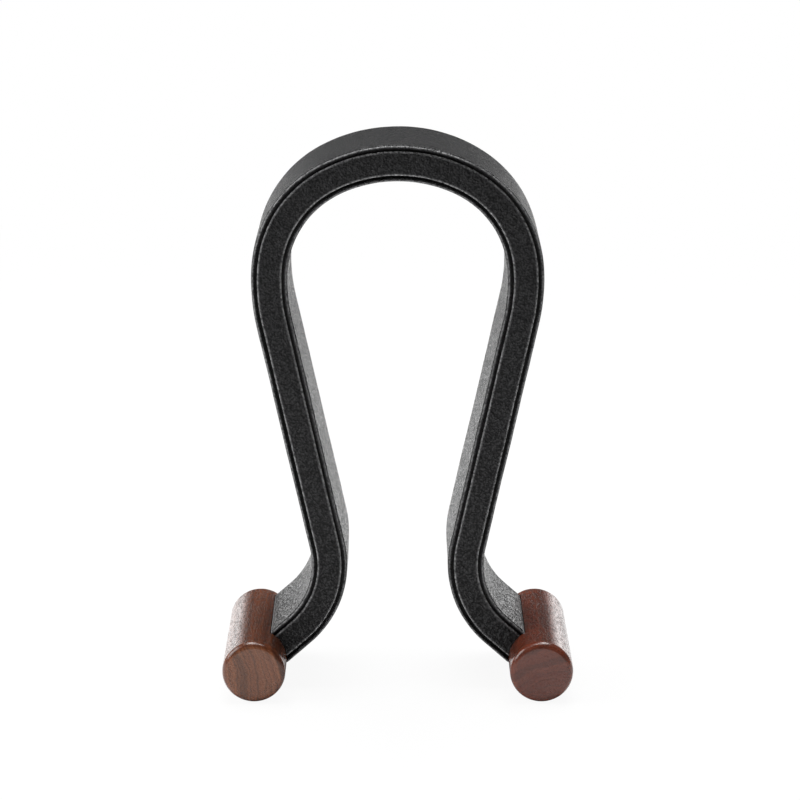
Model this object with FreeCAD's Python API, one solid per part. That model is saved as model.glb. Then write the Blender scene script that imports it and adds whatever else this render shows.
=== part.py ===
import FreeCAD, Part
import os
from math import cos, radians, sin, sqrt

# A free-standing headphone stand: one leather-clad band bent into an omega, on two walnut dowel feet.
# Millimetres. X runs from foot to foot, Y from front (-) to back (+), Z up from the table.
# The origin is on the table, midway between the feet and midway along them.

# The band's middle line, from the crown down one side. Turns and slopes are in degrees.
CROWN_RADIUS = 64.5
CROWN_TURN = 28.0
SHOULDER_RADIUS = 48.0
SHOULDER_TURN = 58.0
HIP_RADIUS = 81.0           # the slow bend from the shoulder into the leg
LEG_LEAN = 12.5             # how far a leg leans in from upright, going down
LEG_LENGTH = 104.5          # straight stretch of a leg
ANKLE_RADIUS = 41.0
ARM_SLOPE = 41.6            # how steeply the arm runs down and out into its foot
ARM_LENGTH = 23.4           # from the end of the ankle bend to abreast of the foot's centre

# The band's section: a bent plywood core, a leather cover on each face and a strip along each edge.
BAND_THICKNESS = 15.8
BAND_WIDTH = 54.0
BAND_REAR_MARGIN = 6.5      # how far the feet stand out behind the band
COVER_THICKNESS = 1.5
COVER_ROUNDING = 0.6
STRIP_THICKNESS = 1.5
STRIP_SET_IN = 0.2          # the strip's face lies this far inside the covers' edges
STRIP_GROOVE = 1.1          # open groove between a strip and each cover
STRIP_ROUNDING = 0.5

# The feet.
FOOT_DIAMETER = 28.0
FOOT_LENGTH = 80.0
FOOT_ROUNDING = 3.0
MORTISE_LIP = 2.8           # wood left under the arm, where the mortise comes nearest the dowel's skin
MORTISE_FLOOR = 2.0         # the mortise stops this far short of the foot's centre
MORTISE_CLEARANCE = 0.1
END_CLEARANCE = 0.1         # between the band's end and the mortise floor

# Two wood screws hold each foot on the band's end, each under a walnut plug.
SCREW_SPACING = 28.0
SCREW_DIAMETER = 4.0
SCREW_ROOT_DIAMETER = 2.8
SCREW_PITCH = 2.2
SCREW_LENGTH = 30.0         # under the head
SCREW_TIP = 4.0
SCREW_PLAIN = 10.0          # unthreaded shank, from the head
SCREW_HEAD_DIAMETER = 7.4
SCREW_HEAD_HEIGHT = 2.6
SCREW_HEAD_ROUNDING = 0.8
SCREW_CLEARANCE = 0.1       # round the screw, in the foot and in the core's pilot hole
RECESS_SPAN = 4.2
RECESS_SLOT = 0.9
RECESS_DEPTH = 1.5
PLUG_DIAMETER = 8.0
PLUG_CLEARANCE = 0.05
COUNTERBORE_DEPTH = 7.0     # from the foot's surface, along the screw

# An anti-slip disc is let into the underside near each end of each foot.
PAD_DIAMETER = 7.0
PAD_RECESS_DEPTH = 1.8
PAD_PROUD = 0.3             # the foot clears the table by this much
PAD_CLEARANCE = 0.1
PAD_FROM_END = 9.0
PAD_ROUNDING = 0.25

OVERCUT = 1.0               # how far a cutting tool runs on past the face that it cuts
SAME_PLACE = 1e-4           # edges nearer than this are the same edge
FLAT = 1e-6

HALF_BAND = BAND_THICKNESS / 2
FOOT_RADIUS = FOOT_DIAMETER / 2
FOOT_OFFSET = FOOT_RADIUS - HALF_BAND - MORTISE_CLEARANCE - MORTISE_LIP    # centre to arm's middle line
BAND_SETBACK = FOOT_LENGTH / 2 - BAND_REAR_MARGIN - BAND_WIDTH / 2         # band's middle behind the feet's
BAND_FRONT = BAND_SETBACK - BAND_WIDTH / 2
BAND_BACK = BAND_SETBACK + BAND_WIDTH / 2
CORE_HALF = HALF_BAND - COVER_THICKNESS
STRIP_HALF = CORE_HALF - STRIP_GROOVE
STRIP_FRONT = BAND_FRONT + STRIP_SET_IN
STRIP_BACK = BAND_BACK - STRIP_SET_IN
CORE_FRONT = STRIP_FRONT + STRIP_THICKNESS
CORE_BACK = STRIP_BACK - STRIP_THICKNESS
MIDDLE_END = ARM_LENGTH - MORTISE_FLOOR - END_CLEARANCE
SIDES = (("left", -1), ("right", 1))


def along(slope):
    """Unit vector that runs down and right at a slope, in degrees below +X."""
    return FreeCAD.Vector(cos(radians(slope)), 0, -sin(radians(slope)))


def outward(slope):
    """Unit vector out of the band where it runs at a slope."""
    return FreeCAD.Vector(sin(radians(slope)), 0, cos(radians(slope)))


def bend(start, slope, turn, radius, offset):
    """One bend of the middle line: its edge at an offset, and the middle line's end."""
    inward = 1 if turn > 0 else -1
    centre = start - outward(slope) * inward * radius
    reach = inward * radius + offset
    points = [centre + outward(slope + turn * share) * reach for share in (0, 0.5, 1)]
    end = centre + outward(slope + turn) * inward * radius
    return Part.Arc(*points).toShape(), end


def run(start, slope, length, offset):
    """One straight stretch: its edge at an offset, and the middle line's end."""
    end = start + along(slope) * length
    shift = outward(slope) * offset
    return Part.LineSegment(start + shift, end + shift).toShape(), end


def half_line(offset, apex):
    """Edges of the right half of the band's line, at an offset outside its middle."""
    hip_slope = CROWN_TURN + SHOULDER_TURN
    leg_slope = 90 + LEG_LEAN
    crown, place = bend(apex, 0, CROWN_TURN, CROWN_RADIUS, offset)
    shoulder, place = bend(place, CROWN_TURN, SHOULDER_TURN, SHOULDER_RADIUS, offset)
    hip, place = bend(place, hip_slope, leg_slope - hip_slope, HIP_RADIUS, offset)
    leg, place = run(place, leg_slope, LEG_LENGTH, offset)
    ankle, ankle_end = bend(place, leg_slope, ARM_SLOPE - leg_slope, ANKLE_RADIUS, offset)
    arm, _ = run(ankle_end, ARM_SLOPE, MIDDLE_END, offset)
    return [crown, shoulder, hip, leg, ankle, arm], ankle_end


def mirrored(shape):
    return shape.mirror(FreeCAD.Vector(0, 0, 0), FreeCAD.Vector(1, 0, 0))


# The band hangs from its crown, so the crown's height comes from where the feet end up.
_, ANKLE_AT = half_line(0, FreeCAD.Vector(0, 0, 0))
FOOT_AT = ANKLE_AT + along(ARM_SLOPE) * ARM_LENGTH + outward(ARM_SLOPE) * FOOT_OFFSET
APEX = FreeCAD.Vector(0, 0, PAD_PROUD + FOOT_RADIUS - FOOT_AT.z)
FOOT_X = FOOT_AT.x
FOOT_Z = PAD_PROUD + FOOT_RADIUS


def layer(inner, outer, front, back):
    """A layer of the whole band between two offsets from its middle and two depths."""
    outer_edges, _ = half_line(outer, APEX)
    inner_edges, _ = half_line(inner, APEX)
    outer_end = outer_edges[-1].Vertexes[-1].Point
    inner_end = inner_edges[-1].Vertexes[-1].Point
    tip = Part.LineSegment(outer_end, inner_end).toShape()
    half = outer_edges + [tip] + inner_edges
    whole = half + [mirrored(edge) for edge in half]
    wire = Part.Wire(Part.__sortEdges__(whole))
    wire.translate(FreeCAD.Vector(0, front, 0))
    return Part.Face(wire).extrude(FreeCAD.Vector(0, back - front, 0))


def rounded_rim(solid, depth, offset, radius):
    """Round the long rim that lies at one depth and one offset from the band's middle."""
    wanted = []
    lines, _ = half_line(offset, APEX)
    lines = lines + [mirrored(line) for line in lines]
    for line in lines:
        line.translate(FreeCAD.Vector(0, depth, 0))
    for edge in solid.Edges:
        middle = edge.valueAt((edge.FirstParameter + edge.LastParameter) / 2)
        spot = Part.Vertex(middle)
        if any(line.distToShape(spot)[0] < SAME_PLACE for line in lines):
            wanted.append(edge)
    return solid.makeFillet(radius, wanted)


def arm_frame(shape):
    """Lay a shape built along +Z, pointing up the arm, onto the right foot's screw line."""
    shape.rotate(FreeCAD.Vector(0, 0, 0), FreeCAD.Vector(0, 1, 0), ARM_SLOPE - 90)
    shape.translate(ARM_ROOT)
    return shape


# The point of the arm's middle line abreast of the foot's centre, and the screw line's way out below.
ARM_ROOT = FreeCAD.Vector(FOOT_X, 0, FOOT_Z) - outward(ARM_SLOPE) * FOOT_OFFSET
SCREW_EXIT = sqrt(FOOT_RADIUS ** 2 - FOOT_OFFSET ** 2)
HEAD_SEAT = COUNTERBORE_DEPTH - SCREW_EXIT
SCREW_PLACES = [BAND_SETBACK + side * SCREW_SPACING / 2 for side in (-1, 1)]
PAD_PLACES = [side * (FOOT_LENGTH / 2 - PAD_FROM_END) for side in (-1, 1)]


def rod(radius, low, high, depth):
    """A round bar on the right foot's screw line, between two heights up the arm."""
    bar = Part.makeCylinder(radius, high - low, FreeCAD.Vector(0, depth, low))
    return arm_frame(bar)


def screw(depth):
    """A pan-head wood screw: ridged shank, pointed tip and cross recess."""
    root = SCREW_ROOT_DIAMETER / 2
    crest = SCREW_DIAMETER / 2
    head = SCREW_HEAD_DIAMETER / 2
    tip = SCREW_LENGTH - SCREW_TIP
    outline = [(0, -SCREW_HEAD_HEIGHT), (head - SCREW_HEAD_ROUNDING, -SCREW_HEAD_HEIGHT)]
    outline += [(head, SCREW_HEAD_ROUNDING - SCREW_HEAD_HEIGHT), (head, 0)]
    outline += [(crest, 0), (crest, SCREW_PLAIN)]
    height = SCREW_PLAIN + SCREW_PITCH / 2
    while height + SCREW_PITCH < tip:
        outline += [(root, height), (crest, height + SCREW_PITCH / 2)]
        height += SCREW_PITCH
    outline += [(root, tip), (0, SCREW_LENGTH)]
    points = [FreeCAD.Vector(radius, depth, HEAD_SEAT + z) for radius, z in outline]
    face = Part.Face(Part.makePolygon(points + points[:1]))
    body = face.revolve(FreeCAD.Vector(0, depth, 0), FreeCAD.Vector(0, 0, 1), 360)
    low = HEAD_SEAT - SCREW_HEAD_HEIGHT
    for wide, deep in ((RECESS_SPAN, RECESS_SLOT), (RECESS_SLOT, RECESS_SPAN)):
        corner = FreeCAD.Vector(-wide / 2, depth - deep / 2, low)
        body = body.cut(Part.makeBox(wide, deep, RECESS_DEPTH, corner))
    return arm_frame(body)


def dowel():
    """The right foot's plain dowel, before rounding and cutting."""
    start = FreeCAD.Vector(FOOT_X, -FOOT_LENGTH / 2, FOOT_Z)
    return Part.makeCylinder(FOOT_RADIUS, FOOT_LENGTH, start, FreeCAD.Vector(0, 1, 0))


def plug(depth):
    """A walnut plug over one screw, trimmed flush with the dowel."""
    low = -FOOT_RADIUS - OVERCUT
    high = HEAD_SEAT - SCREW_HEAD_HEIGHT - PLUG_CLEARANCE
    return rod(PLUG_DIAMETER / 2 - PLUG_CLEARANCE, low, high, depth).common(dowel())


def pad(depth):
    """An anti-slip disc in the right foot's underside."""
    radius = PAD_DIAMETER / 2 - PAD_CLEARANCE
    place = FreeCAD.Vector(FOOT_X, depth, 0)
    disc = Part.makeCylinder(radius, PAD_PROUD + PAD_RECESS_DEPTH, place)
    lower_rim = [edge for edge in disc.Edges if edge.BoundBox.ZMax < FLAT]
    return disc.makeFillet(PAD_ROUNDING, lower_rim)


def foot():
    """The right foot: a rounded dowel with a mortise, screw holes, counterbores and pad recesses."""
    body = dowel()
    ends = [edge for edge in body.Edges if edge.BoundBox.YLength < FLAT]
    body = body.makeFillet(FOOT_ROUNDING, ends)
    deep = BAND_WIDTH + 2 * MORTISE_CLEARANCE
    thick = BAND_THICKNESS + 2 * MORTISE_CLEARANCE
    corner = FreeCAD.Vector(-thick / 2, BAND_SETBACK - deep / 2, MORTISE_FLOOR)
    body = body.cut(arm_frame(Part.makeBox(thick, deep, FOOT_DIAMETER, corner)))
    for depth in SCREW_PLACES:
        hole = SCREW_DIAMETER / 2 + SCREW_CLEARANCE
        body = body.cut(rod(hole, HEAD_SEAT - OVERCUT, MORTISE_FLOOR + OVERCUT, depth))
        body = body.cut(rod(PLUG_DIAMETER / 2, -FOOT_RADIUS - OVERCUT, HEAD_SEAT, depth))
    for depth in PAD_PLACES:
        place = FreeCAD.Vector(FOOT_X, depth, 0)
        recess = Part.makeCylinder(PAD_DIAMETER / 2, PAD_PROUD + PAD_RECESS_DEPTH, place)
        body = body.cut(recess)
    return body


def core():
    """The bent plywood core, with a pilot hole for each screw in both ends."""
    body = layer(-CORE_HALF, CORE_HALF, CORE_FRONT, CORE_BACK)
    hole = SCREW_DIAMETER / 2 + SCREW_CLEARANCE
    for depth in SCREW_PLACES:
        pilot = rod(hole, MORTISE_FLOOR, HEAD_SEAT + SCREW_LENGTH + SCREW_CLEARANCE, depth)
        body = body.cut(pilot)
        body = body.cut(mirrored(pilot))
    return body


def cover(inner, outer, face):
    """A leather cover on one face of the core, with the rims of its bare face rounded."""
    body = layer(inner, outer, BAND_FRONT, BAND_BACK)
    for depth in (BAND_FRONT, BAND_BACK):
        body = rounded_rim(body, depth, face, COVER_ROUNDING)
    return body


def edge_strip(front, back, bare):
    """A leather strip along one edge of the core, with the rims of its bare face rounded."""
    body = layer(-STRIP_HALF, STRIP_HALF, front, back)
    for offset in (-STRIP_HALF, STRIP_HALF):
        body = rounded_rim(body, bare, offset, STRIP_ROUNDING)
    return body


def write(name, shape):
    solids = shape.Solids
    assert len(solids) == 1 and solids[0].isValid(), name
    solids[0].exportStep("parts/" + name + ".step")
    box = solids[0].BoundBox
    print("%-24s %9.1f mm3" % (name, solids[0].Volume))
    print("    x %.1f..%.1f" % (box.XMin, box.XMax))
    print("    y %.1f..%.1f" % (box.YMin, box.YMax))
    print("    z %.1f..%.1f" % (box.ZMin, box.ZMax))


os.makedirs("parts", exist_ok=True)
write("bent_core", core())
write("outer_leather_cover", cover(CORE_HALF, HALF_BAND, HALF_BAND))
write("inner_leather_cover", cover(-HALF_BAND, -CORE_HALF, -HALF_BAND))
write("front_edge_strip", edge_strip(STRIP_FRONT, CORE_FRONT, STRIP_FRONT))
write("rear_edge_strip", edge_strip(CORE_BACK, STRIP_BACK, STRIP_BACK))
for side_name, side in SIDES:
    pieces = [("foot", foot())]
    for where, depth in zip(("front", "rear"), SCREW_PLACES):
        pieces.append((where + "_screw", screw(depth)))
        pieces.append((where + "_plug", plug(depth)))
    for where, depth in zip(("front", "rear"), PAD_PLACES):
        pieces.append((where + "_pad", pad(depth)))
    for piece_name, shape in pieces:
        write(side_name + "_" + piece_name, shape if side > 0 else mirrored(shape))
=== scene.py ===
from math import ceil, cos, exp, pi, radians, sin, sqrt

import bpy
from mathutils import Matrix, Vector, noise


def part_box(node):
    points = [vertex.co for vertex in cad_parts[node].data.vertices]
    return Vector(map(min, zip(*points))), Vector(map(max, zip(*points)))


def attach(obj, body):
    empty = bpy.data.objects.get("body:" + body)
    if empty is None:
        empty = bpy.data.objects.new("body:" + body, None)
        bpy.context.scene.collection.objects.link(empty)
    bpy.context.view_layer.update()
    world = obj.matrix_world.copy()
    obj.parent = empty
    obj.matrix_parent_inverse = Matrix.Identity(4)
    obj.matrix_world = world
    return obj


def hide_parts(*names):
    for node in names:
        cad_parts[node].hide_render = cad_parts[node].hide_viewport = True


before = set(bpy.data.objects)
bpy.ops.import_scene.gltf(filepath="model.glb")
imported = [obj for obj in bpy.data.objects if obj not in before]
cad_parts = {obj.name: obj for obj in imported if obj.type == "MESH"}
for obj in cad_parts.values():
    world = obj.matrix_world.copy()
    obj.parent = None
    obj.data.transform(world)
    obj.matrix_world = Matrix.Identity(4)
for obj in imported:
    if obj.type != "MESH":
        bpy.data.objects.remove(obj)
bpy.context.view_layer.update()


# ---------------------------------------------------------------- Bent core
# Veneers glued and pressed round a former into one stiff omega, then sprayed black. It carries the
# load and shows only at the bottom of the two grooves beside each edge strip.

def new_material(name):
    """An empty material: its node tree and the surface shader, joined to the output."""
    material = bpy.data.materials.new(name)
    material.use_nodes = True
    tree = material.node_tree
    tree.nodes.clear()
    surface = tree.nodes.new("ShaderNodeBsdfPrincipled")
    output = tree.nodes.new("ShaderNodeOutputMaterial")
    tree.links.new(surface.outputs["BSDF"], output.inputs["Surface"])
    return material, tree, surface


def add_node(tree, kind, settings=(), **sockets):
    """Add a node, then set its settings and its sockets, by name or by number as i0, i1 and so on."""
    node = tree.nodes.new(kind)
    for key, value in dict(settings).items():
        setattr(node, key, value)
    for key, value in sockets.items():
        numbered = key[0] == "i" and key[1:].isdigit()
        socket = node.inputs[int(key[1:])] if numbered else node.inputs[key]
        if isinstance(value, bpy.types.NodeSocket):
            tree.links.new(value, socket)
        else:
            socket.default_value = value
    return node


def math_node(tree, operation, first, second=0.5, clamp=False):
    """One step of arithmetic on two values or links."""
    settings = {"operation": operation, "use_clamp": clamp}
    return add_node(tree, "ShaderNodeMath", settings, i0=first, i1=second).outputs[0]


def mix_colour(tree, factor, first, second, blend="MIX"):
    """Mix two colours, each a link or a red, green and blue."""
    settings = {"data_type": "RGBA", "blend_type": blend}
    first, second = [colour if isinstance(colour, bpy.types.NodeSocket) else (*colour, 1.0)
                     for colour in (first, second)]
    return add_node(tree, "ShaderNodeMix", settings, i0=factor, i6=first, i7=second).outputs[2]


def remap(tree, value, low, high, to_low=0.0, to_high=1.0):
    """Carry low to high over to the new range, and hold it at the ends."""
    sockets = {"Value": value, "From Min": low, "From Max": high, "To Min": to_low, "To Max": to_high}
    return add_node(tree, "ShaderNodeMapRange", **sockets).outputs[0]


def bump(tree, surface, height, distance):
    """Give the surface a relief: a height of 1 stands distance metres proud."""
    node = add_node(tree, "ShaderNodeBump", Height=height, Distance=distance, Strength=1.0)
    tree.links.new(node.outputs["Normal"], surface.inputs["Normal"])


def part_coords(tree):
    """Positions on the part, in metres."""
    return tree.nodes.new("ShaderNodeTexCoord").outputs["Object"]


def clad(node_name, material):
    """Give a piece that keeps its own shape its finish."""
    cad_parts[node_name].material_slots[0].material = material


DENSE_PAINT = (0.004, 0.004, 0.004)
THIN_PAINT = (0.010, 0.009, 0.009)


def black_ply():
    """Black spray paint that follows the open grain of the veneers under it."""
    material, tree, surface = new_material("black sprayed ply")
    coords = part_coords(tree)
    stretched = add_node(tree, "ShaderNodeMapping", Vector=coords, Scale=(900.0, 120.0, 900.0))
    grain = add_node(tree, "ShaderNodeTexNoise", Vector=stretched.outputs[0], Scale=1.0, Detail=4.0)
    mist = add_node(tree, "ShaderNodeTexNoise", Vector=coords, Scale=90.0, Detail=3.0)
    thin = remap(tree, mist.outputs["Fac"], 0.35, 0.75)
    colour = mix_colour(tree, thin, DENSE_PAINT, THIN_PAINT)
    tree.links.new(colour, surface.inputs["Base Color"])
    tree.links.new(remap(tree, grain.outputs["Fac"], 0.3, 0.7, 0.55, 0.8), surface.inputs["Roughness"])
    surface.inputs["Specular IOR Level"].default_value = 0.3
    bump(tree, surface, grain.outputs["Fac"], 0.00015)
    return material


clad("bent_core", black_ply())


# ------------------------------------------------------------- Leather covers
# Two long pieces of black pebbled cowhide, 1.5 mm thick, glued to the outer and inner faces of the
# core. Each overhangs the core's edges, where it is turned to a round bead and creased alongside.

CROWN_BEND = (0.0645, 28.0)        # radius and degrees of each bend, and the straight runs between
SHOULDER_BEND = (0.0480, 58.0)
HIP_BEND = (0.0810, 16.5)
LEG_RUN = 0.1045
ANKLE_BEND = (-0.0410, -60.9)      # bends the other way
ARM_RUN = 0.0213
BAND_LINE = (CROWN_BEND, SHOULDER_BEND, HIP_BEND, LEG_RUN, ANKLE_BEND, ARM_RUN)
STATION_STEP = 0.0013              # between the cross-sections along the band
FINE_STEP = 0.00012                # round the ends of the covers, where they meet the feet
FINE_BEFORE = 0.0018
FINE_AFTER = 0.0008

COVER_BEAD = 0.00060               # half-round of a cover's turned rims
RIM_STEP = 0.00030                 # the rims lie this much lower than the panel between them
CREASE_INSET = 0.00100             # from a rim
CREASE_DEPTH = 0.00016             # below the rim
CREASE_HALF_WIDTH = 0.00018
PANEL_EDGE = 0.00125               # where the panel has risen half the step
PANEL_RISE = 0.00012
PANEL_SWELL = 0.00010
PANEL_SOFTNESS = 0.003             # the swell has built up this far in from its edge
LIP_INSET = 0.00022                # the top of a rim, where the lips' wear and painted highlight lie
LIP_WIDTH = 0.00034
RIM_SHARE = 0.5                     # the rims get half the wear and painted highlight of the lips where the covers end
TUCKED_IN = 0.00025                # how far the end rims go into the mouths of the mortises
GLUE_WANDER = 0.00022              # unevenness of hand-glued leather
WANDER_FROM = 0.018                # it starts this far from the band's ends
WANDER_FADE = 0.030                # and is full this much further on
SLOW_WANDER = 38.0                 # its waves per metre
QUICK_WANDER = 150.0
SLOW_SHARE = 0.7
QUICK_SHARE = 0.3

crown_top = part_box("outer_leather_cover")[1].z
core_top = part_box("bent_core")[1].z
core_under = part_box("inner_leather_cover")[1].z
band_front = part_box("outer_leather_cover")[0].y
band_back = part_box("outer_leather_cover")[1].y
cover_thickness = crown_top - core_top
core_half = (core_top - core_under) / 2
band_middle = (band_front + band_back) / 2
band_half_width = (band_back - band_front) / 2


def outward(slope):
    """Square out from the band where it runs at a slope, in degrees down from level."""
    return Vector((sin(radians(slope)), 0.0, cos(radians(slope))))


def along(slope):
    """Onward along the band where it runs at a slope."""
    return Vector((cos(radians(slope)), 0.0, -sin(radians(slope))))


def bend_length(bend):
    """The length of a bend, or of a straight run, which is given as its length."""
    return bend if isinstance(bend, float) else bend[0] * radians(bend[1])


def place_at(run):
    """The point of the band's middle line a run down from the crown to the right, and its outward."""
    place = Vector((0.0, band_middle, core_top - core_half))
    slope = 0.0
    for bend in BAND_LINE:
        length = bend_length(bend)
        part = min(run, length)
        if isinstance(bend, float):
            place = place + along(slope) * part
        else:
            radius, turn = bend
            centre = place - outward(slope) * radius
            slope += turn * part / length
            place = centre + outward(slope) * radius
        run -= part
        if run <= 0:
            break
    return place, outward(slope)


HALF_RUN = sum(bend_length(bend) for bend in BAND_LINE)


def mouth_run(offset):
    """The run at which a face at an offset from the middle line goes into the right foot."""
    low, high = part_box("right_foot")
    foot_axis = Vector(((low.x + high.x) / 2, band_middle, (low.z + high.z) / 2))
    foot_radius = (high.x - low.x) / 2
    end, direction = place_at(HALF_RUN)
    ahead = Vector((direction.z, 0.0, -direction.x))
    across = end + direction * offset - foot_axis
    along_arm = across.dot(ahead)
    return HALF_RUN - along_arm - sqrt(along_arm ** 2 - across.length_squared + foot_radius ** 2)


OUTER_MOUTH = mouth_run(core_half + cover_thickness)
INNER_MOUTH = mouth_run(-core_half - cover_thickness)


def whole_runs():
    """Runs from the left foot over the crown to the right foot, closer together at the mouths."""
    count = ceil(HALF_RUN / STATION_STEP)
    runs = {round(HALF_RUN * step / count, 6) for step in range(count + 1)}
    fine = int((FINE_BEFORE + FINE_AFTER) / FINE_STEP)
    for mouth in (OUTER_MOUTH, INNER_MOUTH):
        runs |= {round(mouth - FINE_BEFORE + FINE_STEP * step, 6) for step in range(fine + 1)}
    runs = sorted(run for run in runs if run <= HALF_RUN)
    return [-run for run in runs[:0:-1]] + runs


WHOLE_RUNS = whole_runs()


def unevenness(point, run, seed, amount):
    """How far hand-glued leather wanders from true at a point, in metres."""
    fade = min(1.0, max(0.0, (HALF_RUN - abs(run) - WANDER_FROM) / WANDER_FADE))
    slow = noise.noise(point * SLOW_WANDER + Vector((seed, 0.0, 0.0)))
    quick = noise.noise(point * QUICK_WANDER + Vector((0.0, seed, 0.0)))
    return amount * fade * (SLOW_SHARE * slow + QUICK_SHARE * quick)


def sweep(name, section, material, seed, wander):
    """Carry section(run), a loop of (offset outward, depth, lip mark), along the band."""
    vertices = []
    lip_marks = []
    for run in WHOLE_RUNS:
        place, direction = place_at(abs(run))
        if run < 0:
            place = Vector((-place.x, place.y, place.z))
            direction = Vector((-direction.x, 0.0, direction.z))
        loop = section(abs(run))
        for offset, depth, lip_mark in loop:
            point = place + direction * offset + Vector((0.0, depth, 0.0))
            vertices.append(point + direction * unevenness(point, run, seed, wander))
            lip_marks.append(lip_mark)
    count = len(loop)
    faces = []
    for row in range(len(WHOLE_RUNS) - 1):
        first = row * count
        for column in range(count):
            after = (column + 1) % count
            faces.append((first + column, first + after, first + count + after, first + count + column))
    faces.append(tuple(range(count))[::-1])
    last = (len(WHOLE_RUNS) - 1) * count
    faces.append(tuple(range(last, last + count)))
    mesh = bpy.data.meshes.new(name)
    mesh.from_pydata(vertices, [], faces)
    mesh.shade_smooth()
    mesh.materials.append(material)
    # Each point's lip mark: where the leather gets its wear and its painted highlight.
    mesh.attributes.new("lip_mark", "FLOAT", "POINT").data.foreach_set("value", lip_marks)
    piece = bpy.data.objects.new(name, mesh)
    bpy.context.scene.collection.objects.link(piece)
    return piece


def new_group(name, inputs, outputs):
    """A node group with named inputs, each with its usual value, and named outputs."""
    group = bpy.data.node_groups.new(name, "ShaderNodeTree")
    for label, usual in inputs.items():
        kind = "NodeSocketVector" if isinstance(usual, tuple) else "NodeSocketFloat"
        group.interface.new_socket(label, in_out="INPUT", socket_type=kind).default_value = usual
    for label in outputs:
        group.interface.new_socket(label, in_out="OUTPUT", socket_type="NodeSocketFloat")
    given = group.nodes.new("NodeGroupInput").outputs
    result = group.nodes.new("NodeGroupOutput").inputs
    return group, given, result


def vector_node(tree, operation, first, second):
    """One step of arithmetic on two vectors."""
    node = add_node(tree, "ShaderNodeVectorMath", {"operation": operation}, i0=first, i1=second)
    return node.outputs[0]


PEBBLE_STRAY = 0.0009              # how far the pebbles stray from an even pattern
STRAY_WAVES = 420.0                # per metre, like the next two
PULL_WAVES = 70.0
WRINKLES = 560.0
PITS_PER_PEBBLE = 2.3


def leather_grain():
    """Group: the pebbled grain of cowhide, its pores, and the soft pulls across the hide."""
    group, given, result = new_group("pebbled grain", {"Pebbles per metre": 1200.0, "Pull": 0.3},
                                     ("Height", "Pebble", "Pull mask"))
    coords = part_coords(group)
    stray = add_node(group, "ShaderNodeTexNoise", Vector=coords, Scale=STRAY_WAVES, Detail=2.0)
    stray = vector_node(group, "SUBTRACT", stray.outputs["Color"], (0.5, 0.5, 0.5))
    stray = add_node(group, "ShaderNodeVectorMath", {"operation": "SCALE"}, i0=stray, Scale=PEBBLE_STRAY)
    moved = vector_node(group, "ADD", coords, stray.outputs[0])
    large = add_node(group, "ShaderNodeTexVoronoi", {"feature": "SMOOTH_F1"}, Vector=moved,
                     Scale=given["Pebbles per metre"], Smoothness=0.35, Randomness=0.9)
    finer = math_node(group, "MULTIPLY", given["Pebbles per metre"], PITS_PER_PEBBLE)
    small = add_node(group, "ShaderNodeTexVoronoi", {"feature": "F1"}, Vector=moved, Scale=finer)
    pebble = remap(group, large.outputs["Distance"], 0.15, 0.75, 1.0, 0.0)
    pit = remap(group, small.outputs["Distance"], 0.0, 0.7, 0.0, 1.0)
    pull = add_node(group, "ShaderNodeTexNoise", Vector=coords, Scale=PULL_WAVES, Detail=3.0,
                    Roughness=0.55)
    wrinkle = add_node(group, "ShaderNodeTexNoise", Vector=moved, Scale=WRINKLES, Detail=2.0)
    creased = remap(group, wrinkle.outputs["Fac"], 0.35, 0.65, 0.0, 0.9)
    fine = math_node(group, "MULTIPLY", pit, 0.22)
    relief = math_node(group, "ADD", math_node(group, "ADD", pebble, fine), creased)
    wide = math_node(group, "MULTIPLY", pull.outputs["Fac"], given["Pull"])
    group.links.new(math_node(group, "ADD", relief, wide), result["Height"])
    raised = math_node(group, "ADD", math_node(group, "MULTIPLY", creased, 0.35), pebble)
    group.links.new(math_node(group, "SUBTRACT", raised, 0.16), result["Pebble"])
    group.links.new(remap(group, pull.outputs["Fac"], 0.38, 0.68), result["Pull mask"])
    return group


LEATHER_GRAIN = leather_grain()
# A pale grey painted along the leather's lips as a highlight, broken into patches.
PAINTED_LIP_HIGHLIGHT = (0.62, 0.62, 0.63)
PULLED_SHADE = (0.5, 0.5, 0.5)     # the hide is darker where it isn't pulled
LIP_PATCHES = 800.0               # patches of the lips' wear and painted highlight, per metre


def lip_wear_and_highlight():
    """Group: the lips' wear and painted highlight, broken into patches; Edge comes from the mesh."""
    group, given, result = new_group("lip rubbing and highlight", {"Edge": 0.0, "Patches per metre": 240.0}, ("Rubbing and highlight",))
    patches = add_node(group, "ShaderNodeTexNoise", Vector=part_coords(group), Detail=4.0,
                       Scale=given["Patches per metre"])
    kept = remap(group, patches.outputs["Fac"], 0.36, 0.60, 0.25, 1.0)
    group.links.new(math_node(group, "MULTIPLY", given["Edge"], kept, clamp=True), result["Rubbing and highlight"])
    return group


LIP_WEAR_AND_HIGHLIGHT = lip_wear_and_highlight()


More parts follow.
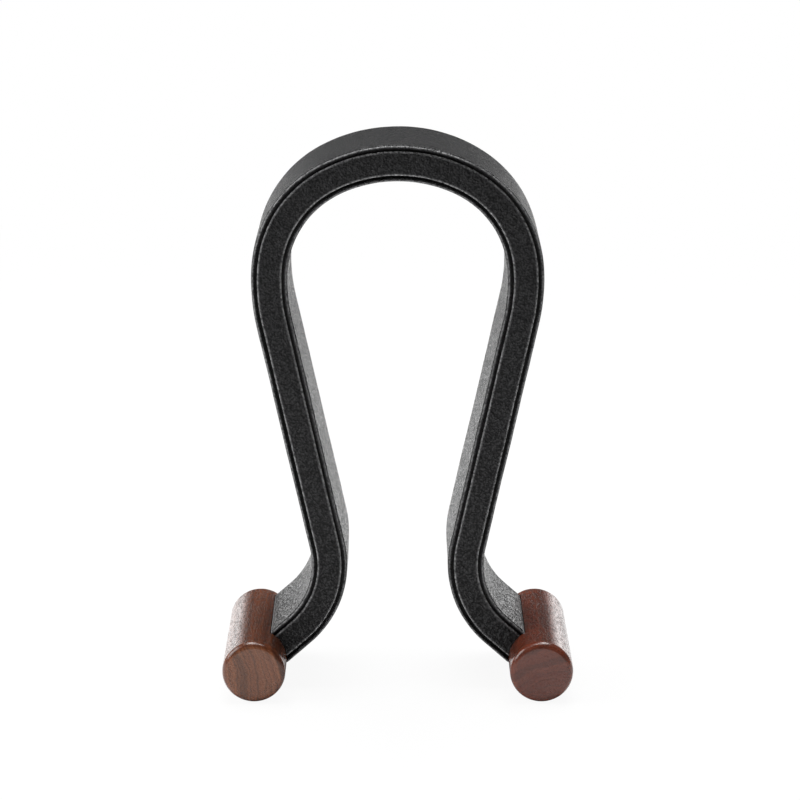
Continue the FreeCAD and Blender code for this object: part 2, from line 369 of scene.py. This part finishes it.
def black_leather(name, pebbles, pull, valley, crest, gloss, relief, lip_highlight_share):
    """Black aniline leather: semi-gloss over its grain, lips burnished smooth and painted paler as a
    highlight.
    """
    material, tree, surface = new_material(name)
    grain = add_node(tree, "ShaderNodeGroup", {"node_tree": LEATHER_GRAIN},
                     **{"Pebbles per metre": pebbles, "Pull": pull})
    toned = mix_colour(tree, grain.outputs["Pebble"], valley, crest)
    shaded = mix_colour(tree, 0.2, toned, PULLED_SHADE, "MULTIPLY")
    colour = mix_colour(tree, grain.outputs["Pull mask"], shaded, toned)
    marked = add_node(tree, "ShaderNodeAttribute", {"attribute_name": "lip_mark"}).outputs["Fac"]
    edges = add_node(tree, "ShaderNodeGroup", {"node_tree": LIP_WEAR_AND_HIGHLIGHT},
                     **{"Edge": marked, "Patches per metre": LIP_PATCHES})
    wear_and_highlight = edges.outputs["Rubbing and highlight"]
    # The lips are painted pale grey here: a painted highlight, in patches.
    highlit_colour = mix_colour(tree, math_node(tree, "MULTIPLY", wear_and_highlight, lip_highlight_share), colour, PAINTED_LIP_HIGHLIGHT)
    tree.links.new(highlit_colour, surface.inputs["Base Color"])
    polished = remap(tree, grain.outputs["Pebble"], 0.0, 1.0, gloss[1], gloss[0])
    smoothed = remap(tree, wear_and_highlight, 0.0, 1.0, 1.0, 0.55)
    tree.links.new(math_node(tree, "MULTIPLY", polished, smoothed), surface.inputs["Roughness"])
    surface.inputs["Specular IOR Level"].default_value = 0.25
    glazed = remap(tree, grain.outputs["Pebble"], 0.42, 0.8, 0.08, 1.0)
    tree.links.new(math_node(tree, "MAXIMUM", glazed, wear_and_highlight), surface.inputs["Coat Weight"])
    surface.inputs["Coat Roughness"].default_value = 0.25
    surface.inputs["Coat IOR"].default_value = 1.35
    flattened = remap(tree, wear_and_highlight, 0.0, 1.0, 1.0, 0.1)
    bump(tree, surface, math_node(tree, "MULTIPLY", grain.outputs["Height"], flattened), relief)
    return material


def rim_drop(inset):
    """How far a cover's face has rounded down at an inset from its rim."""
    return COVER_BEAD - sqrt(COVER_BEAD ** 2 - min(COVER_BEAD, max(0.0, COVER_BEAD - inset)) ** 2)


def step_down(inset):
    """How far a cover's face lies below its panel at an inset from a rim: the step and the crease."""
    step = RIM_STEP / (1 + exp(min(50.0, (inset - PANEL_EDGE) / PANEL_RISE)))
    return step + CREASE_DEPTH * exp(-((inset - CREASE_INSET) / CREASE_HALF_WIDTH) ** 2)


# Where a cover's section has its points, from the rim in: degrees round the bead, half widths of the
# crease from its middle, shares of the way to the band's middle; on the glued face degrees and metres.
FACE_BEAD = (0, 15, 30, 42, 54, 66, 78, 90)
CREASE_POINTS = (-1.6, -1.0, -0.5, 0, 0.5, 1.0, 1.5, 2.0, 2.6, 3.4)
PANEL_POINTS = (0.1, 0.18, 0.28, 0.4, 0.55, 0.7, 0.85, 1.0)
GLUED_BEAD = (20, 45, 70, 90)
GLUED_POINTS = (0.003, 0.012)


def bead_insets(angles):
    """Insets from the rim of points round a cover's bead."""
    return [COVER_BEAD * (1 - cos(radians(angle))) for angle in angles]


def cover_section(inner, side, mouth):
    """A cover's closed section at a run; inner is its glued face, side is 1 or -1 from there out."""
    crease = [CREASE_INSET + CREASE_HALF_WIDTH * share for share in CREASE_POINTS]
    panel = [band_half_width * share for share in PANEL_POINTS]
    depths = [band_half_width - inset for inset in bead_insets(FACE_BEAD) + crease + panel]
    depths = depths + [-depth for depth in depths[-2::-1]]
    glued = [band_half_width - inset for inset in bead_insets(GLUED_BEAD) + list(GLUED_POINTS)]
    glued = [-depth for depth in glued] + glued[::-1]

    def section(run):
        to_end = mouth - run + TUCKED_IN
        # The rims and the end lip are marked for wear and a painted highlight.
        end_lip = exp(-((to_end - TUCKED_IN - LIP_INSET) / LIP_WIDTH) ** 2)
        loop = []
        for depth in depths:
            inset = band_half_width - abs(depth)
            swell = PANEL_SWELL * (1 - exp(-max(0.0, inset - CREASE_INSET) / PANEL_SOFTNESS))
            lowered = max(step_down(inset), step_down(to_end))
            rounded = min(rim_drop(inset) + rim_drop(to_end), COVER_BEAD)
            face = cover_thickness + swell - lowered - rounded
            lip = exp(-((inset - LIP_INSET) / LIP_WIDTH) ** 2)
            loop.append((inner + side * face, depth, max(RIM_SHARE * lip, end_lip)))
        for depth in glued:
            loop.append((inner + side * rim_drop(band_half_width - abs(depth)), depth, 0.0))
        return loop if side > 0 else loop[::-1]

    return section


HIDE = {"pebbles": 1050.0, "pull": 0.8, "lip_highlight_share": 0.9}       # one hide for the covers and the strips
COVER_FINISH = {"valley": (0.004, 0.004, 0.0045), "crest": (0.017, 0.017, 0.0185),
                "gloss": (0.33, 0.6), "relief": 0.0006}
COVER_LEATHER = black_leather("black cover leather", **HIDE, **COVER_FINISH)

outer_section = cover_section(core_half, 1, OUTER_MOUTH)
outer_cover = sweep("outer_cover_leather", outer_section, COVER_LEATHER, seed=3.1, wander=GLUE_WANDER)
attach(outer_cover, "root")
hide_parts("outer_leather_cover")

inner_section = cover_section(-core_half, -1, INNER_MOUTH)
inner_cover = sweep("inner_cover_leather", inner_section, COVER_LEATHER, seed=7.7, wander=GLUE_WANDER)
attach(inner_cover, "root")
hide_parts("inner_leather_cover")


# --------------------------------------------------------------- Edge strips
# A narrow strip of the same leather, skived thin and rolled over at both rims, glued along the front
# and rear edges of the core. It lies between the covers' beads with an open groove on each side.

STRIP_ROLL = 0.00062               # radius of the rolled rims
STRIP_CROWN = 0.00010              # how far the bare face swells in the middle
STRIP_WANDER = 0.00010
ROLL_ANGLES = (0, 18, 36, 54, 72, 90)              # degrees round the roll, from the rim in
STRIP_POINTS = (0.8, 0.66, 0.5, 0.33, 0.16)        # shares of the way out to the rim

strip_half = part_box("front_edge_strip")[1].z - (core_top - core_half)


def strip_section(low, high, facing):
    """A strip's closed section: flat on the core, rolled lips, slightly crowned bare face."""
    bare = low if facing < 0 else high
    base = high if facing < 0 else low
    offsets = [strip_half - STRIP_ROLL * (1 - cos(radians(angle))) for angle in ROLL_ANGLES]
    offsets += [strip_half * share for share in STRIP_POINTS]
    offsets = offsets + [0.0] + [-offset for offset in offsets[::-1]]
    loop = []
    for offset in offsets:
        inset = strip_half - abs(offset)
        roll = STRIP_ROLL - sqrt(STRIP_ROLL ** 2 - max(0.0, STRIP_ROLL - inset) ** 2)
        crown = STRIP_CROWN * (1 - (offset / strip_half) ** 2)
        # The rolled lips are marked for the same wear and painted highlight.
        lip = exp(-((inset - LIP_INSET) / LIP_WIDTH) ** 2)
        loop.append((offset, bare - facing * (roll - crown) - band_middle, lip))
    loop += [(-strip_half, base - band_middle, 0.0), (strip_half, base - band_middle, 0.0)]
    loop = loop[::-1] if facing > 0 else loop
    return lambda run: loop


STRIP_FINISH = {"valley": (0.003, 0.003, 0.0035), "crest": (0.0125, 0.0125, 0.014),
                "gloss": (0.36, 0.6), "relief": 0.00045}
STRIP_LEATHER = black_leather("black strip leather", **HIDE, **STRIP_FINISH)

for where, facing, seed in (("front", -1, 11.0), ("rear", 1, 23.0)):
    low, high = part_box(where + "_edge_strip")
    section = strip_section(low.y, high.y, facing)
    strip = sweep(where + "_strip_leather", section, STRIP_LEATHER, seed, STRIP_WANDER)
    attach(strip, "root")
    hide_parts(where + "_edge_strip")


# ---------------------------------------------------------------------- Feet
# Two turned walnut dowels with rounded ends, stained red-brown and finished in clear gloss lacquer.
# The stain, together with painted shade that darkens the sides, stops short of their ends.
# Each is mortised to take the end of the band.

PORES_ACROSS = 1000.0              # per metre
PORES_ALONG = 300.0
RING_TAPER = 0.04                  # how much of a distance along the rod counts in the rings
WAVE_TAPER = 0.09                  # and how much in their waves and in the colour's drift
LINES_PER_RING = 0.43              # dark lines, fewer than the rings


def walnut_figure():
    """Group: growth rings round a pith beside the rod, open pores along it, and slow colour drift."""
    group, given, result = new_group(
        "walnut figure", {"Pith": (0.0, 0.0, 0.0), "Rings per metre": 420.0, "Waviness": 0.0016},
        ("Ring", "Line", "Pore", "Drift"))
    coords = part_coords(group)
    placed = vector_node(group, "SUBTRACT", coords, given["Pith"])
    long_grain = add_node(group, "ShaderNodeMapping", Vector=placed, Scale=(1.0, WAVE_TAPER, 1.0))
    wander = add_node(group, "ShaderNodeTexNoise", Vector=long_grain.outputs[0], Scale=75.0, Detail=3.0,
                      Roughness=0.55)
    sideways = vector_node(group, "MULTIPLY", placed, (1.0, RING_TAPER, 1.0))
    radius = add_node(group, "ShaderNodeVectorMath", {"operation": "LENGTH"}, i0=sideways)
    waved = math_node(group, "SUBTRACT", wander.outputs["Fac"], 0.5)
    waved = math_node(group, "MULTIPLY", waved, given["Waviness"])
    waved = math_node(group, "MULTIPLY", waved, 4.0)
    ring_at = math_node(group, "ADD", radius.outputs["Value"], waved)
    ring_at = math_node(group, "MULTIPLY", ring_at, given["Rings per metre"])
    ring = add_node(group, "ShaderNodeTexNoise", {"noise_dimensions": "1D"}, W=ring_at, Scale=1.0,
                    Detail=3.0, Roughness=0.6)
    line_at = math_node(group, "MULTIPLY", ring_at, LINES_PER_RING)
    line = add_node(group, "ShaderNodeTexNoise", {"noise_dimensions": "1D"}, W=line_at, Scale=1.0,
                    Detail=1.0)
    off_line = math_node(group, "ABSOLUTE", math_node(group, "SUBTRACT", line.outputs["Fac"], 0.5))
    pore_scale = (PORES_ACROSS, PORES_ALONG, PORES_ACROSS)
    pore_space = add_node(group, "ShaderNodeMapping", Vector=coords, Scale=pore_scale)
    pores = add_node(group, "ShaderNodeTexNoise", Vector=pore_space.outputs[0], Scale=1.0, Detail=2.0,
                     Roughness=0.7)
    drift = add_node(group, "ShaderNodeTexNoise", Vector=long_grain.outputs[0], Scale=55.0, Detail=2.0)
    group.links.new(remap(group, ring.outputs["Fac"], 0.34, 0.66), result["Ring"])
    group.links.new(remap(group, off_line, 0.0, 0.035, 1.0, 0.0), result["Line"])
    group.links.new(remap(group, pores.outputs["Fac"], 0.49, 0.60), result["Pore"])
    group.links.new(remap(group, drift.outputs["Fac"], 0.3, 0.7), result["Drift"])
    return group


WALNUT_FIGURE = walnut_figure()
DARK_LINE = (0.018, 0.008, 0.005)
OPEN_PORE = (0.015, 0.007, 0.004)
STAIN_AND_SHADE_FADES = 0.0006               # from here, measured in from a foot's end, the stain and painted shade thin out
STAIN_AND_SHADE_GONE = 0.00012
PORES_FADE = 0.0040                # from here on the lacquer begins to fill the pores
PORES_FILLED = 0.0024              # and here it has nearly filled them
PORE_DEPTH = 0.00042

foot_x = (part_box("right_foot")[0].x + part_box("right_foot")[1].x) / 2
foot_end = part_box("right_foot")[1].y


def lacquered_walnut(name, pith, rings, waviness, dark, light, warm, line_strength, stain_and_side_shade):
    """Walnut, stained with painted shade except on its ends, under clear gloss lacquer sunk into its
    pores.
    """
    material, tree, surface = new_material(name)
    figure = add_node(tree, "ShaderNodeGroup", {"node_tree": WALNUT_FIGURE},
                      **{"Pith": pith, "Rings per metre": rings, "Waviness": waviness}).outputs
    depth = add_node(tree, "ShaderNodeSeparateXYZ", Vector=part_coords(tree)).outputs["Y"]
    depth = math_node(tree, "ABSOLUTE", depth)
    side = remap(tree, depth, foot_end - STAIN_AND_SHADE_FADES, foot_end - STAIN_AND_SHADE_GONE, 1.0, 0.0)
    unfilled = remap(tree, depth, foot_end - PORES_FADE, foot_end - PORES_FILLED, 1.0, 0.25)
    pore = math_node(tree, "MULTIPLY", figure["Pore"], unfilled)
    banded = mix_colour(tree, figure["Ring"], dark, light)
    warmed = mix_colour(tree, math_node(tree, "MULTIPLY", figure["Drift"], 0.5), banded, warm)
    lined = math_node(tree, "MULTIPLY", figure["Line"], line_strength)
    lined = mix_colour(tree, lined, warmed, DARK_LINE)
    # The stain is partly painted shade: it darkens the sides against the ends.
    stained_and_shaded = mix_colour(tree, side, lined, stain_and_side_shade, "MULTIPLY")
    pored = mix_colour(tree, math_node(tree, "MULTIPLY", pore, 0.5), stained_and_shaded, OPEN_PORE)
    tree.links.new(pored, surface.inputs["Base Color"])
    tree.links.new(remap(tree, figure["Ring"], 0.0, 1.0, 0.42, 0.32), surface.inputs["Roughness"])
    surface.inputs["Specular IOR Level"].default_value = 0.15
    tree.links.new(remap(tree, pore, 0.0, 1.0, 1.0, 0.4), surface.inputs["Coat Weight"])
    surface.inputs["Coat Roughness"].default_value = 0.22
    bump(tree, surface, math_node(tree, "SUBTRACT", 1.0, pore), PORE_DEPTH)
    return material


# Each rod's stain also paints shade on its sides; its ends are left without it.
LEFT_ROD = {"pith": (-foot_x - 0.052, 0.0, 0.004), "rings": 430.0, "waviness": 0.0016,
            "dark": (0.180, 0.060, 0.025), "light": (0.290, 0.107, 0.046),
            "warm": (0.268, 0.092, 0.040), "line_strength": 0.5, "stain_and_side_shade": (0.60, 0.44, 0.31)}
RIGHT_ROD = {"pith": (foot_x + 0.030, 0.0, -0.070), "rings": 300.0, "waviness": 0.0022,
             "dark": (0.142, 0.031, 0.016), "light": (0.176, 0.043, 0.022),
             "warm": (0.162, 0.037, 0.019), "line_strength": 0.3, "stain_and_side_shade": (1.00, 0.87, 0.66)}
clad("left_foot", lacquered_walnut("left foot walnut", **LEFT_ROD))
clad("right_foot", lacquered_walnut("right foot walnut", **RIGHT_ROD))


# -------------------------------------------------------------------- Screws
# Two zinc-plated wood screws per foot run up through the dowel into the end of the core, on the line
# of the arm. They are covered by the plugs.

BRIGHT_ZINC = (0.62, 0.64, 0.67)
DULL_ZINC = (0.40, 0.41, 0.42)


def zinc_plate():
    """Blue-white zinc plating over drawn steel, dulled in patches."""
    material, tree, surface = new_material("zinc plated steel")
    coords = part_coords(tree)
    cloud = add_node(tree, "ShaderNodeTexNoise", Vector=coords, Scale=700.0, Detail=4.0)
    dull = remap(tree, cloud.outputs["Fac"], 0.4, 0.65)
    colour = mix_colour(tree, dull, BRIGHT_ZINC, DULL_ZINC)
    tree.links.new(colour, surface.inputs["Base Color"])
    tree.links.new(remap(tree, cloud.outputs["Fac"], 0.3, 0.7, 0.22, 0.42), surface.inputs["Roughness"])
    surface.inputs["Metallic"].default_value = 1.0
    bump(tree, surface, cloud.outputs["Fac"], 0.00002)
    return material


ZINC = zinc_plate()
for side in ("left", "right"):
    for where in ("front", "rear"):
        clad(side + "_" + where + "_screw", ZINC)


# --------------------------------------------------------------------- Plugs
# Walnut face plugs tapped in over the screw heads, pared flush with the dowel and lacquered with it.
# They are cut across the plank, so their grain runs another way than the foot's.

PLUG_ROD = {"pith": (0.0, -0.040, -0.060), "rings": 520.0, "waviness": 0.0012,
            "dark": (0.055, 0.025, 0.016), "light": (0.120, 0.058, 0.038),
            "warm": (0.095, 0.040, 0.026), "line_strength": 0.5, "stain_and_side_shade": (1.0, 1.0, 1.0)}
PLUG_WALNUT = lacquered_walnut("plug walnut", **PLUG_ROD)
for side in ("left", "right"):
    for where in ("front", "rear"):
        clad(side + "_" + where + "_plug", PLUG_WALNUT)


# ---------------------------------------------------------------------- Pads
# Small discs of black silicone pressed into blind holes in the underside of each foot. They stand
# a third of a millimetre proud and keep the lacquer off the table.

CLEAN_SILICONE = (0.016, 0.016, 0.017)
DUSTY_SILICONE = (0.045, 0.044, 0.042)


def black_silicone():
    """Matt moulded silicone with a faint bloom of dust in its surface."""
    material, tree, surface = new_material("black silicone")
    coords = part_coords(tree)
    speckle = add_node(tree, "ShaderNodeTexNoise", Vector=coords, Scale=2600.0, Detail=3.0)
    bloom = add_node(tree, "ShaderNodeTexNoise", Vector=coords, Scale=350.0, Detail=3.0)
    dusty = remap(tree, bloom.outputs["Fac"], 0.45, 0.75)
    colour = mix_colour(tree, dusty, CLEAN_SILICONE, DUSTY_SILICONE)
    tree.links.new(colour, surface.inputs["Base Color"])
    tree.links.new(remap(tree, bloom.outputs["Fac"], 0.3, 0.7, 0.6, 0.85), surface.inputs["Roughness"])
    bump(tree, surface, speckle.outputs["Fac"], 0.00004)
    return material


SILICONE = black_silicone()
for side in ("left", "right"):
    for where in ("front", "rear"):
        clad(side + "_" + where + "_pad", SILICONE)


# --------------------------------------------------------- Table top and light
# The stand is shown on a wide white laminate table in a dim studio. Two wide soft boxes stand behind
# it to either side, one hangs overhead, and a smaller one high on the left throws the bright glints.

TABLE_HALF_WIDTH = 6.0
TABLE_FRONT = -3.0
TABLE_BACK = 14.0
TABLE_BLEACH = 0.93                # how far the table is bleached out to pure white at the stand
BLEACH_FROM = 0.25                 # it grows from this distance on
BLEACH_FULL = 1.1                  # and is complete from this one
LAMINATE_LOW = (0.90, 0.90, 0.90)
LAMINATE_HIGH = (0.92, 0.92, 0.92)
PURE_WHITE = (1.0, 1.0, 1.0, 1.0)
ROOM_LIGHT = 0.055                 # the dim room, against pure white


def white_table():
    """A large flat sheet whose own light and shade reach the camera only faintly."""
    mesh = bpy.data.meshes.new("white_table")
    corners = [(-TABLE_HALF_WIDTH, TABLE_FRONT, 0.0), (TABLE_HALF_WIDTH, TABLE_FRONT, 0.0),
               (TABLE_HALF_WIDTH, TABLE_BACK, 0.0), (-TABLE_HALF_WIDTH, TABLE_BACK, 0.0)]
    mesh.from_pydata(corners, [], [(0, 1, 2, 3)])
    material, tree, surface = new_material("white laminate")
    mottle = add_node(tree, "ShaderNodeTexNoise", Vector=part_coords(tree), Scale=6.0, Detail=3.0)
    colour = mix_colour(tree, mottle.outputs["Fac"], LAMINATE_LOW, LAMINATE_HIGH)
    tree.links.new(colour, surface.inputs["Base Color"])
    surface.inputs["Roughness"].default_value = 0.8
    surface.inputs["Specular IOR Level"].default_value = 0.2
    bleached = add_node(tree, "ShaderNodeEmission", Color=PURE_WHITE, Strength=1.0)
    seen = tree.nodes.new("ShaderNodeLightPath").outputs["Is Camera Ray"]
    away = add_node(tree, "ShaderNodeVectorMath", {"operation": "LENGTH"}, i0=part_coords(tree))
    bleach = remap(tree, away.outputs["Value"], BLEACH_FROM, BLEACH_FULL, TABLE_BLEACH, 1.0)
    share = math_node(tree, "MULTIPLY", seen, bleach)
    shown = add_node(tree, "ShaderNodeMixShader", i0=share, i1=surface.outputs["BSDF"],
                     i2=bleached.outputs["Emission"])
    output = next(node for node in tree.nodes if node.type == "OUTPUT_MATERIAL")
    tree.links.new(shown.outputs["Shader"], output.inputs["Surface"])
    mesh.materials.append(material)
    sheet = bpy.data.objects.new("white_table", mesh)
    bpy.context.scene.collection.objects.link(sheet)
    return sheet


white_table()


def soft_box(name, place, aim, size, radiance):
    """A rectangular soft box of a given radiance that points at a place, unseen by the camera."""
    lamp = bpy.data.lights.new(name, "AREA")
    lamp.shape = "RECTANGLE"
    lamp.size, lamp.size_y = size
    lamp.energy = radiance * pi * size[0] * size[1]
    holder = bpy.data.objects.new(name, lamp)
    holder.location = place
    holder.rotation_mode = "QUATERNION"
    holder.rotation_quaternion = (Vector(aim) - Vector(place)).to_track_quat("-Z", "Y")
    holder.visible_camera = False
    bpy.context.scene.collection.objects.link(holder)


STAND_MIDDLE = (0.0, 0.0, 0.12)
soft_box("overhead_box", (0.0, 0.3, 1.5), STAND_MIDDLE, size=(1.1, 1.1), radiance=8.3)
soft_box("left_key_box", (-1.25, -0.10, 0.72), STAND_MIDDLE, size=(0.9, 0.9), radiance=5.0)
soft_box("left_rear_box", (-1.60, 2.3, 0.62), STAND_MIDDLE, size=(1.6, 1.2), radiance=2.2)
soft_box("right_rear_box", (1.62, 2.3, 0.62), STAND_MIDDLE, size=(1.6, 1.2), radiance=2.8)


def studio_world():
    """A dim room for light and reflections; the camera itself sees plain white behind the stand."""
    world = bpy.data.worlds.new("studio")
    world.use_nodes = True
    tree = world.node_tree
    tree.nodes.clear()
    room = add_node(tree, "ShaderNodeBackground", Color=PURE_WHITE, Strength=ROOM_LIGHT)
    paper = add_node(tree, "ShaderNodeBackground", Color=PURE_WHITE, Strength=1.0)
    seen = tree.nodes.new("ShaderNodeLightPath").outputs["Is Camera Ray"]
    shown = add_node(tree, "ShaderNodeMixShader", i0=seen, i1=room.outputs[0], i2=paper.outputs[0])
    add_node(tree, "ShaderNodeOutputWorld", Surface=shown.outputs[0])
    bpy.context.scene.world = world


studio_world()
bpy.context.scene.view_settings.view_transform = "Standard"


# ------------------------------------------------------------------- Camera
# A long lens in front of the stand and a little above it, tilted down so that the crown's top and the
# tops of both feet show. Distances are in metres, the tilt in degrees, the lens in millimetres.

CAMERA_DISTANCE = 1.2617
CAMERA_HEIGHT = 0.4541
CAMERA_TILT_DOWN = 14.459
CAMERA_LENS = 131.66
CAMERA_SHIFT = 0.0029
SENSOR_WIDTH = 36.0

lens = bpy.data.cameras.new("camera")
lens.sensor_width = SENSOR_WIDTH
lens.lens = CAMERA_LENS
lens.shift_x = CAMERA_SHIFT
camera = bpy.data.objects.new("camera", lens)
camera.location = (0.0, -CAMERA_DISTANCE, CAMERA_HEIGHT)
camera.rotation_euler = (radians(90.0 - CAMERA_TILT_DOWN), 0.0, 0.0)
bpy.context.scene.collection.objects.link(camera)
bpy.context.scene.camera = camera
